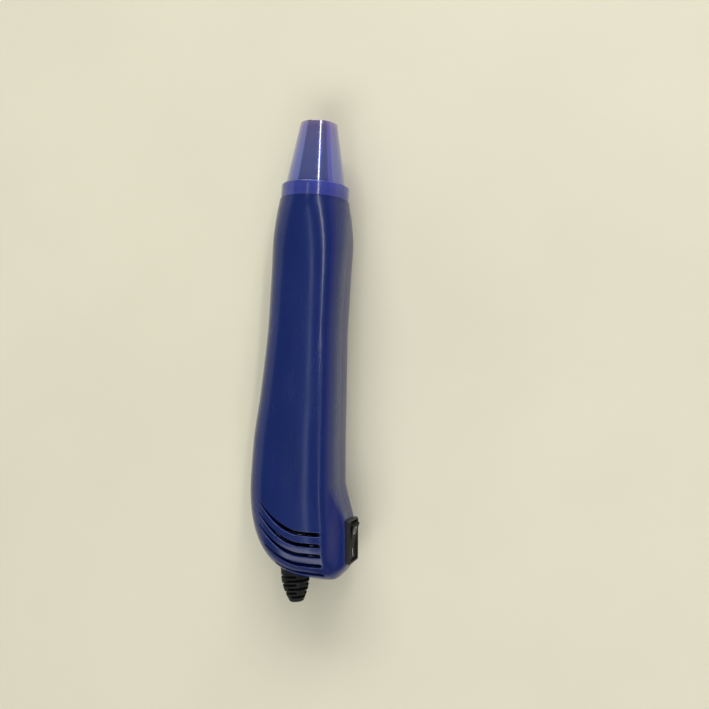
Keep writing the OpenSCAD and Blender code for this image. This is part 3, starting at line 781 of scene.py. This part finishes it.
def along_x(x1, x2, y, z, r, n=40, cut=None):
    t = np.linspace(0, 2 * math.pi, n, endpoint=False)
    ring = np.stack([y + r * np.cos(t), z + r * np.sin(t)], 1)
    if cut is not None:
        ring[:, 1] = np.maximum(ring[:, 1], cut)
        keep = np.concatenate([[True], np.abs(np.diff(ring, axis=0)).sum(1) > 1e-6])
        ring = ring[keep]
    return rings_mesh([np.column_stack([np.full(len(ring), x), ring]) for x in (x1, x2)], True, True, True)


def temp_object(mesh):
    me = bpy.data.meshes.new("tmp")
    me.from_pydata([tuple(v) for v in mesh[0]], [], [tuple(int(i) for i in f) for f in mesh[1]])
    ob = bpy.data.objects.new("tmp", me)
    bpy.context.scene.collection.objects.link(ob)
    fix_normals(ob)
    return ob


def combine(a, b, op):
    md = a.modifiers.new("m", "BOOLEAN")
    md.operation, md.object, md.solver = op, b, "MANIFOLD"
    me = bpy.data.meshes.new_from_object(a.evaluated_get(bpy.context.evaluated_depsgraph_get()))
    if not len(me.polygons):
        md.solver = "EXACT"
        me = bpy.data.meshes.new_from_object(a.evaluated_get(bpy.context.evaluated_depsgraph_get()))
    a.modifiers.clear()
    a.data = me
    bpy.data.objects.remove(b)
    return a


def back_details(V, F, VN):
    """Stand grooves, pivots, thumb scoop and screw wells in the back half."""
    from mathutils.bvhtree import BVHTree
    sc = np.radians(np.linspace(0, 25, 14))
    scoop = [(19.1 * math.sin(t), -35 + 19.1 * math.cos(t)) for t in sc]
    scoop += [(8.07 + 4 * (math.sin(math.radians(25)) - math.sin(t)), -17.69 - 4 * (math.cos(t) - math.cos(math.radians(25))))
              for t in np.radians(np.linspace(25, 7, 8))[1:]]
    scoop += [(13.9, -18.6), (13.9, -24), (0, -24)]
    cut = temp_object(channel(174.9, groove_cut))
    combine(cut, temp_object(around_z(0, 105, scoop, 72)), "UNION")
    add = temp_object(channel(177.2, groove_wall))
    cap = np.radians(np.linspace(0, 34, 14))
    combine(add, temp_object(around_z(0, 105, [(21.1 * math.sin(t), -35 + 21.1 * math.cos(t)) for t in cap] + [(0, -17.5)], 48)), "UNION")
    for sg in (-1, 1):
        for x1, x2, r in ((9, 12.6, 1.6), (12.5, 14.4, 2.15)):
            combine(cut, temp_object(along_x(*sorted((sg * x1, sg * x2)), 170, -12.3, r)), "UNION")
        combine(add, temp_object(along_x(*sorted((sg * 11.5, sg * 14.9)), 170, -12.3, 3.3, cut=-13.75)), "UNION")
    for x, y in POSTS:
        low = lambda px, py: back_z(px, py) + 1.0
        combine(add, temp_object(around_z(x, y, [(0, -.2), (3.3, -.2), (3.7, -.5), (3.7, low), (1.9, low), (0, low(x, y))], 40)), "UNION")
        combine(cut, temp_object(around_z(x, y, [(0, -3), (1.6, -3), (1.6, -6.6), (2.9, -6.6), (2.9, -24), (0, -24)], 48)), "UNION")
    ob = temp_object((V, F))
    combine(ob, add, "UNION")
    combine(ob, cut, "DIFFERENCE")
    me = ob.data
    me.polygons.foreach_set("use_smooth", [True] * len(me.polygons))
    me.set_sharp_from_angle(angle=math.radians(32))
    co = np.empty(len(me.vertices) * 3)
    me.vertices.foreach_get("co", co)
    co = co.reshape(-1, 3)
    faces = [list(p.vertices) for p in me.polygons]
    nrm = np.empty(len(me.loops) * 3)
    me.corner_normals.foreach_get("vector", nrm)
    nrm = nrm.reshape(-1, 3)
    tree = BVHTree.FromPolygons([tuple(v) for v in V], F)
    kd = {tuple(np.round(v, 3)): i for i, v in enumerate(V)}
    k = 0
    for p in me.polygons:
        hit, fn, fi, dist = tree.find_nearest(p.center)
        if hit is not None and dist < .012 and abs(fn.dot(p.normal)) > .965:
            corner = F[fi]
            for j, v in enumerate(p.vertices):
                i = kd.get(tuple(np.round(co[v], 3)))
                if i is None:
                    d = np.linalg.norm(V[corner] - co[v], axis=1) + 1e-4
                    w = 1 / d ** 2
                    q = (VN[corner] * w[:, None]).sum(0)
                else:
                    q = VN[i]
                q = q / (np.linalg.norm(q) + 1e-12)
                if q @ np.array(p.normal) > .35:
                    nrm[k + j] = q
        k += len(p.vertices)
    bpy.data.objects.remove(ob)
    return co, faces, nrm


# ------------------------------------------------------------------ materials
def lin(c):
    return tuple((v / 12.92 if v <= .04045 else ((v + .055) / 1.055) ** 2.4) for v in (x / 255 for x in c))


def shade(c, f):
    return tuple(min(1, v * f) for v in c[:3]) + (1,)


class Mat:
    def __init__(self, name, base, rough, metallic=0.0, **sockets):
        self.m = bpy.data.materials.new(name)
        self.m.use_nodes = True
        self.t = self.m.node_tree
        self.b = self.t.nodes["Principled BSDF"]
        self.b.inputs["Base Color"].default_value = tuple(base[:3]) + (1,)
        self.b.inputs["Roughness"].default_value = rough
        self.b.inputs["Metallic"].default_value = metallic
        for k, v in sockets.items():
            self.b.inputs[k.replace("_", " ")].default_value = v
        self.base, self.rough = tuple(base[:3]), rough
        self.co = self.t.nodes.new("ShaderNodeTexCoord").outputs["Object"]
        self.last_bump = None

    def n(self, kind, **kw):
        x = self.t.nodes.new("ShaderNode" + kind)
        for k, v in kw.items():
            setattr(x, k, v)
        return x

    def link(self, a, b):
        self.t.links.new(a, b)

    def noise(self, scale, stretch=(1, 1, 1), detail=4, rough=.55, dist=0.0):
        mp = self.n("Mapping")
        mp.inputs["Scale"].default_value = stretch
        self.link(self.co, mp.inputs["Vector"])
        x = self.n("TexNoise")
        x.inputs["Scale"].default_value = scale
        x.inputs["Detail"].default_value = detail
        x.inputs["Roughness"].default_value = rough
        x.inputs["Distortion"].default_value = dist
        self.link(mp.outputs["Vector"], x.inputs["Vector"])
        return x.outputs["Fac"]

    def ramp(self, fac, stops):
        r = self.n("ValToRGB")
        e = r.color_ramp.elements
        while len(e) < len(stops):
            e.new(.5)
        for el, (p, c) in zip(e, stops):
            el.position = p
            el.color = tuple(c[:3]) + (1,)
        self.link(fac, r.inputs["Fac"])
        return r.outputs["Color"]

    def colour(self, fac, amount=.1, lo=.35, hi=.65):
        c = self.base
        self.link(self.ramp(fac, [(lo, shade(c, 1 - amount)), (hi, shade(c, 1 + amount))]), self.b.inputs["Base Color"])
        return self

    def roughness(self, fac, a, b, lo=.3, hi=.7):
        mr = self.n("MapRange")
        for k, v in zip(("From Min", "From Max", "To Min", "To Max"), (lo, hi, a, b)):
            mr.inputs[k].default_value = v
        self.link(fac, mr.inputs["Value"])
        self.link(mr.outputs["Result"], self.b.inputs["Roughness"])
        return self

    def bump(self, fac, dist_mm, strength=1.0, coat=False):
        x = self.n("Bump")
        x.inputs["Strength"].default_value = strength
        x.inputs["Distance"].default_value = dist_mm / 1000
        self.link(fac, x.inputs["Height"])
        if self.last_bump is not None:
            self.link(self.last_bump, x.inputs["Normal"])
        self.last_bump = x.outputs["Normal"]
        self.link(self.last_bump, self.b.inputs["Normal"])
        if coat:
            self.link(self.last_bump, self.b.inputs["Coat Normal"])
        return self


M = {}


def plastic(name, base, rough, spread=.05, grain=.004, grain_scale=1600, coat=0.0, coat_rough=.05, tone=.08, scale=35, ior=1.5):
    m = Mat(name, base, rough, 0, IOR=ior)
    if coat:
        m.b.inputs["Coat Weight"].default_value = coat
        m.b.inputs["Coat Roughness"].default_value = coat_rough
    m.colour(m.noise(scale, detail=6), tone)
    m.roughness(m.noise(scale * 3.3, (1, .35, 1), 6, .65), rough - spread, rough + spread * 1.6)
    m.bump(m.noise(grain_scale, detail=3), grain)
    return m


def metal(name, base, rough, spread=.06, lines=(1, 1, 1), line_scale=900, line_depth=.003, tone=.08, **kw):
    m = Mat(name, base, rough, 1.0, **kw)
    m.colour(m.noise(120, detail=5), tone)
    m.roughness(m.noise(line_scale * .6, lines, 6, .7), rough - spread, rough + spread * 1.5)
    m.bump(m.noise(line_scale, lines, 4, .6), line_depth)
    return m


# casing: glossy cobalt plastic with a faint mould flow, fine orange peel and light rubbing
BLUE = (0.0072, 0.0205, 0.128)
m = Mat("gloss_blue_plastic", BLUE, .22, 0, IOR=1.46, Coat_Weight=.12, Coat_Roughness=.06)
flow = m.noise(22, (1, .32, 1), 6, .6, .6)
m.link(m.ramp(flow, [(.3, shade(BLUE, .84)), (.52, shade(BLUE, 1)), (.72, (.0088, .0240, .146))]), m.b.inputs["Base Color"])
m.roughness(m.noise(160, (1, .22, 1), 8, .7), .17, .31)
m.bump(m.noise(95, (1, .13, 1), 2, .5, .4), .045)
m.bump(m.noise(420, detail=2), .0045)
m.bump(m.noise(2600, detail=2), .0006)
M["casing_plastic"] = m.m

m = Mat("violet_blue_band", (.040, .055, .285), .16, 0, IOR=1.5, Coat_Weight=.35, Coat_Roughness=.04)
m.colour(m.noise(60, (1, 2.4, 1), 6), .14)
m.roughness(m.noise(240, (1, 3, 1), 7, .7), .1, .26)
m.bump(m.noise(700, detail=3), .002)
M["collar_plastic"] = m.m

# nose: bright coat over turned metal, with faint turning lines round the axis
m = Mat("nose_bright_coat", (.15, .18, .46), .14, .55, Coat_Weight=1.0, Coat_Roughness=.035, Coat_IOR=1.6)
sep = m.n("SeparateXYZ")
m.link(m.co, sep.inputs[0])
turn = m.n("TexNoise", noise_dimensions="1D")
turn.inputs["Scale"].default_value = 5200
turn.inputs["Detail"].default_value = 5
m.link(sep.outputs["Y"], turn.inputs["W"])
# base colour runs from deep blue at the collar to a warmer violet at the lip, set by height along the axis
lip_ramp = m.n("MapRange")
for k, v in zip(("From Min", "From Max"), (.078, .118)):
    lip_ramp.inputs[k].default_value = v
m.link(sep.outputs["Y"], lip_ramp.inputs["Value"])
m.link(m.ramp(lip_ramp.outputs["Result"], [(0, (.11, .14, .42)), (.55, (.14, .17, .45)), (.93, (.20, .18, .44)), (1, (.30, .24, .40))]),
       m.b.inputs["Base Color"])
m.roughness(m.noise(140, (1, 4, 1), 6, .65), .09, .2)
m.bump(turn.outputs["Fac"], .0012)
m.bump(m.noise(330, detail=3), .0016)
M["cone_coating"] = m.m

sb = plastic("switch_black_nylon", (.010, .010, .011), .42, .1, .006, 2400, tone=.25)
sb.b.inputs["Specular IOR Level"].default_value = .3
M["switch_black"] = sb.m
rk = plastic("rocker_gloss_black", (.006, .006, .0065), .45, .07, .0025, 1900, tone=.2)
rk.b.inputs["Specular IOR Level"].default_value = .04
M["rocker_black"] = rk.m
M["inner_black_plastic"] = plastic("inner_black_plastic", (.02, .02, .022), .5, .1, .006, 2000, tone=.2).m
M["motor_plastic"] = plastic("motor_end_plastic", (.62, .60, .52), .45, .08, .004, 1800, tone=.08).m
M["ceramic_white"] = plastic("ceramic_white", (.66, .64, .58), .55, .1, .008, 1500, tone=.06).m
M["component_black"] = plastic("component_black", (.02, .02, .021), .4, .08, .003, 2500, tone=.2).m
M["lead_insulation"] = plastic("lead_insulation", (.42, .028, .02), .38, .08, .004, 1700, tone=.12).m
M["board_green"] = plastic("board_green", (.02, .14, .05), .32, .08, .004, 1300, coat=.3, coat_rough=.15, tone=.2, scale=180).m

# sleeve: dull rubber with bloom and fine pitting
m = Mat("sleeve_rubber", (.007, .007, .007), .6, 0, Specular_IOR_Level=.3)
m.link(m.ramp(m.noise(260, detail=8, rough=.7), [(.35, (.004, .004, .004)), (.6, (.0075, .0075, .008)), (.8, (.017, .017, .018))]),
       m.b.inputs["Base Color"])
m.roughness(m.noise(420, detail=6, rough=.7), .46, .74)
m.bump(m.noise(1500, detail=5, rough=.7), .018)
M["relief_rubber"] = m.m

M["stand_chrome"] = metal("stand_bright_wire", (.64, .65, .67), .13, .05, (6, .18, 6), 700, .0012, tone=.05).m
M["screw_zinc"] = metal("screw_zinc", (.52, .53, .52), .34, .1, (1, 1, 1), 1500, .004, tone=.14).m
M["plated_metal"] = metal("plated_steel", (.50, .50, .51), .3, .08, (1, .15, 1), 1100, .003, tone=.1).m
M["brass_parts"] = metal("brass_strip", (.58, .42, .16), .28, .08, (1, .2, 1), 1200, .003, tone=.14).m
M["bronze"] = metal("sintered_bronze", (.46, .30, .12), .42, .1, (1, 1, 1), 2600, .01, tone=.18).m
M["copper_wire"] = metal("enamelled_copper", (.50, .20, .07), .24, .06, (1, 9, 1), 2400, .02, tone=.16).m
M["shaft_steel"] = metal("shaft_steel", (.60, .60, .62), .16, .05, (1, 4, 1), 1800, .001, tone=.05).m
M["core_steel"] = metal("core_laminations", (.34, .34, .35), .42, .1, (.2, 18, .2), 1500, .03, tone=.12).m
M["magnet_ferrite"] = plastic("ferrite", (.045, .045, .05), .6, .1, .02, 1800, tone=.25).m
M["brush_carbon"] = plastic("brush_carbon", (.03, .03, .032), .55, .1, .012, 2600, tone=.3).m

# heater tube: drawn steel, tinted straw and blue towards the hot end
m = Mat("heater_tube_steel", (.5, .49, .48), .28, 1.0)
sep = m.n("SeparateXYZ")
m.link(m.co, sep.inputs[0])
wob = m.n("MixRGB", blend_type="ADD")
wob.inputs["Fac"].default_value = .012
m.link(sep.outputs["Y"], wob.inputs["Color1"])
m.link(m.noise(90, detail=5), wob.inputs["Color2"])
hr = m.n("MapRange")
hr.inputs["From Min"].default_value, hr.inputs["From Max"].default_value = .03, .112
m.link(wob.outputs["Color"], hr.inputs["Value"])
m.link(m.ramp(hr.outputs["Result"], [(0, (.50, .49, .48)), (.45, (.50, .42, .28)), (.66, (.34, .20, .24)), (.82, (.16, .20, .38)), (1, (.30, .31, .34))]),
       m.b.inputs["Base Color"])
m.roughness(m.noise(600, (1, .12, 1), 6, .7), .2, .42)
m.bump(m.noise(900, (1, .1, 1), 4), .003)
M["steel_tube"] = m.m

m = Mat("mica_sheet", (.48, .40, .25), .34, 0, Coat_Weight=.2, Coat_Roughness=.2)
m.link(m.ramp(m.noise(190, (1, 1, 1), 9, .75, 1.2), [(.28, (.30, .23, .13)), (.5, (.50, .41, .26)), (.75, (.66, .58, .42))]), m.b.inputs["Base Color"])
m.roughness(m.noise(480, detail=6), .2, .5)
m.bump(m.noise(700, detail=6), .012)
M["mica"] = m.m

M["resistance_wire"] = metal("resistance_wire", (.26, .23, .21), .46, .1, (1, 1, 1), 2600, .012, tone=.2).m

m = plastic("mark_white", (.62, .62, .60), .5, .08, .004, 2600, tone=.06)
MARK = m.m

for n, ob in N.items():
    s = next((p["material_slot"] for p in frame["record"]["subparts"] if p["node"] == n), None)
    if s in M:
        ob.data.materials.clear()
        ob.data.materials.append(M[s])


# ------------------------------------------------------------------ pieces
V, F, VN = half_shell(True)
front = obj_from("casing_front", V, F, normals=VN, mats=[M["casing_plastic"]], replaces=["front_shell"])
V, F, VN = back_details(*half_shell(False))
rear = obj_from("casing_back", V, F, normals=VN, mats=[M["casing_plastic"]], replaces=["back_shell"])


def piece(name, mesh, mat, body="casing", node=None, sharp=35):
    ob = obj_from(name, mesh[0], mesh[1], body=None, mats=[mat])
    fix_normals(ob)
    ob.data.set_sharp_from_angle(angle=math.radians(sharp))
    if node:
        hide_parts(node)
    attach(ob, body)
    return ob


piece("nose_band", collar_mesh(), M["collar_plastic"], node="nose_collar", sharp=50)
piece("nose_cone", cone_mesh(), M["cone_coating"], node="nozzle_cone", sharp=50)
piece("switch_frame", frame_mesh(), M["switch_black"], node="switch_body", sharp=40)
piece("rocker_key", rocker_mesh(), M["rocker_black"], "rocker", "switch_rocker", 40)
piece("rocker_off_mark", mark_mesh(ring_loop(5.25, 0, 1.95, 1.95), ring_loop(5.25, 0, 1.5, 1.5)), MARK, "rocker", None, 60)
piece("rocker_on_mark", mark_mesh(bar_loop(-5.25, 0, 1.95, .26)), MARK, "rocker", None, 60)
piece("cord_sleeve", relief_mesh(), M["relief_rubber"], node="strain_relief", sharp=50)
piece("stand_wire", tube(stand_path(), 1.25), M["stand_chrome"], "stand", "wire_stand", 60)

# ------------------------------------------------------------------ stage
bpy.ops.mesh.primitive_plane_add(size=6, location=(0, 0, 0))
floor = bpy.context.object
floor.name = "floor"
fm = Mat("pale_floor", (.80, .77, .60), .62, 0, Specular_IOR_Level=.2)
fm.colour(fm.noise(6, detail=5), .025)
fm.bump(fm.noise(260, detail=4), .02, .4)
floor.data.materials.append(fm.m)


def look(ob, loc, at, up=(0, 1, 0)):
    z = (Vector(loc) - Vector(at)).normalized()
    x = Vector(up).cross(z).normalized()
    y = z.cross(x)
    ob.matrix_world = Matrix.Translation(loc) @ Matrix((x, y, z)).transposed().to_4x4()


def area(name, angle, dist, w, h, power, colour=(1, 1, 1), y=0.0, rise=0.0):
    """Long soft box beside the tool: angle from straight up towards +X."""
    li = bpy.data.lights.new(name, "AREA")
    li.shape = "RECTANGLE"
    li.size, li.size_y = w, h
    li.energy = power
    li.color = colour
    ob = bpy.data.objects.new(name, li)
    bpy.context.scene.collection.objects.link(ob)
    a = math.radians(angle)
    look(ob, (dist * math.sin(a), y, .018 + dist * math.cos(a) + rise), (0, y * .3, .018))
    return ob


area("key_right", 29, .9, .06, 1.3, 3.0, (1, .99, .97), y=.68)
area("low_right", 36, .9, .07, 1.1, .6, (.92, .95, 1), y=-.5)
area("strip_top", -7, 1.0, .12, 1.3, .85, (.80, .90, 1), y=-.2)
area("side_left", -80, .9, .70, 1.6, 1.9, (.92, .96, 1), y=.2)
area("violet_right", 80, .9, .34, 1.5, .9, (.64, .40, 1.0), y=.15)
area("end_top", 0, 1.25, 2.6, .9, 52, (1, .985, .96), y=2.3)
area("end_bottom", 0, 1.6, 2.5, 1.2, 24, (1, .985, .96), y=-1.6)

world = bpy.data.worlds.new("studio")
bpy.context.scene.world = world
world.use_nodes = True
bg = world.node_tree.nodes["Background"]
bg.inputs["Color"].default_value = (.80, .80, .78, 1)
bg.inputs["Strength"].default_value = .12

# camera at the photograph's view: aim point and axes in tool coordinates
yaw, pitch, roll, D = math.radians(16), math.radians(-1.08), math.radians(3.26), 390.5
az = Vector((math.sin(yaw) * math.cos(pitch), math.sin(pitch), math.cos(yaw) * math.cos(pitch)))
ax = Vector((0, 1, 0)).cross(az).normalized()
ay = az.cross(ax)
cx = ax * math.cos(roll) + ay * math.sin(roll)
cy = -ax * math.sin(roll) + ay * math.cos(roll)
C = np.array([25.1, 110.45, 0]) + D * np.array(az)
cd = bpy.data.cameras.new("camera")
cd.lens = 40.62
cd.sensor_width = 36
cd.clip_start, cd.clip_end = .01, 20
cam = bpy.data.objects.new("camera", cd)
bpy.context.scene.collection.objects.link(cam)
cam.matrix_world = Matrix.Translation(W(C)) @ Matrix((cx, cy, az)).transposed().to_4x4()
bpy.context.scene.camera = cam
bpy.context.scene.view_settings.view_transform = "Standard"
